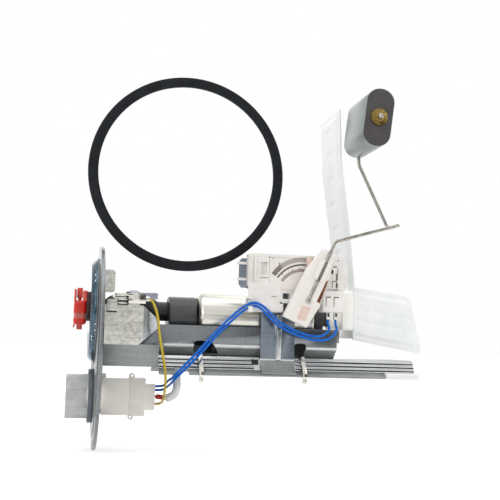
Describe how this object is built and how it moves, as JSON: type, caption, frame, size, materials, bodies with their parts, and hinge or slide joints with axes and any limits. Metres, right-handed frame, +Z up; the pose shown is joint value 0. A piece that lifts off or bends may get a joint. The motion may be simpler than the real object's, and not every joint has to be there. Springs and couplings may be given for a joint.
{
  "type": "fuel pump module",
  "caption": "In-tank electric fuel pump on a round flange hanger, with a swinging float level sender, folded inlet strainer, connector and separate tank seal ring.",
  "frame": {"origin": "centre of the flange's sealing face, in the plane of its rim", "axes": "+X into the tank along the pump, +Z up, +Y away from the level sender"},
  "size_m": [0.2758, 0.15, 0.2865],
  "materials": {
    "flange_steel": "zinc plated, brushed",
    "zinc_sheet": "plated sheet steel, satin",
    "tube_steel": "bright plated",
    "clamp_steel": "plated, slightly lilac",
    "pump_steel": "satin plated",
    "bright_wire": "bright drawn wire",
    "brass": "satin",
    "copper": "copper alloy strip",
    "black_rubber": "matt",
    "grey_rubber": "matt",
    "slate_rubber": "matt",
    "black_plastic": "moulded",
    "red_plastic": "moulded",
    "clear_plastic": "translucent grey-white",
    "natural_nylon": "natural nylon",
    "white_nylon": "moulded",
    "white_acetal": "moulded",
    "ceramic": "fired ceramic",
    "track_ink": "printed resistor",
    "magnet": "ferrite",
    "carbon": "carbon",
    "foam": "closed nitrile foam",
    "mesh": "woven nylon mesh",
    "yellow_wire": "insulation",
    "red_wire": "insulation",
    "blue_wire": "insulation",
    "clear_sleeve": "translucent sleeve"
  },
  "bodies": {
    "root": {"flange_plate": "flange_steel", "flange_cap": "flange_steel", "outlet_pipe": "tube_steel", "outlet_grommet": "black_rubber", "connector_housing": "clear_plastic", "connector_gasket": "slate_rubber", "connector_pins": "brass", "connector_seal": "slate_rubber", "connector_plug": "natural_nylon", "hanger_near": "zinc_sheet", "hanger_far": "zinc_sheet", "hanger_tab": "zinc_sheet", "ground_terminal": "tube_steel", "fuel_hose": "black_rubber", "hose_clamp": "clamp_steel", "pump_case": "pump_steel", "pump_outlet_end": "black_plastic", "pump_boot": "grey_rubber", "pump_magnets": "magnet", "pump_brushes": "carbon", "pump_bearing_plate": "black_plastic", "pump_inlet_cover": "black_plastic", "pump_cradle": "zinc_sheet", "base_rail": "zinc_sheet", "rail_foot": "white_nylon", "saddle_front": "black_rubber", "saddle_rear": "black_rubber", "clip_front": "tube_steel", "clip_rear": "tube_steel", "sender_bracket": "zinc_sheet", "sender_housing": "white_acetal", "resistor_card": "ceramic", "resistor_tracks": "track_ink", "sender_terminals": "tube_steel", "bracket_clips": "white_acetal", "harness_clip": "white_acetal", "strainer_neck": "natural_nylon", "strainer_sock": "mesh", "tank_seal": "black_rubber", "wire_yellow": "yellow_wire", "wire_red": "red_wire", "wire_blue_long": "blue_wire", "wire_blue_short": "blue_wire", "wire_sleeve": "clear_sleeve"},
    "arm": {"wiper_arm": "white_acetal", "wiper_contact": "copper", "float_wire": "bright_wire", "push_nut": "brass"},
    "float": {"float": "foam"},
    "rotor": {"pump_shaft": "bright_wire", "pump_armature": "pump_steel", "pump_commutator": "copper", "pump_impeller": "black_plastic"},
    "dust_cap": {"outlet_cap": "red_plastic"}
  },
  "joints": [
    {"name": "float_arm_pivot", "type": "hinge", "parent": "root", "child": "arm", "pos_m": [0.1475, -0.03, 0.0422], "axis": [0, -1, 0], "range_deg": [0, 75]},
    {"name": "float_spin", "type": "hinge", "parent": "arm", "child": "float", "pos_m": [0.1945, -0.04, 0.1755], "axis": [0, -1, 0], "continuous": true},
    {"name": "rotor_spin", "type": "hinge", "parent": "root", "child": "rotor", "pos_m": [0.12, 0, 0.024], "axis": [1, 0, 0], "continuous": true},
    {"name": "dust_cap_slide", "type": "slide", "parent": "root", "child": "dust_cap", "axis": [-1, 0, 0], "range_m": [0, 0.012]}
  ]
}
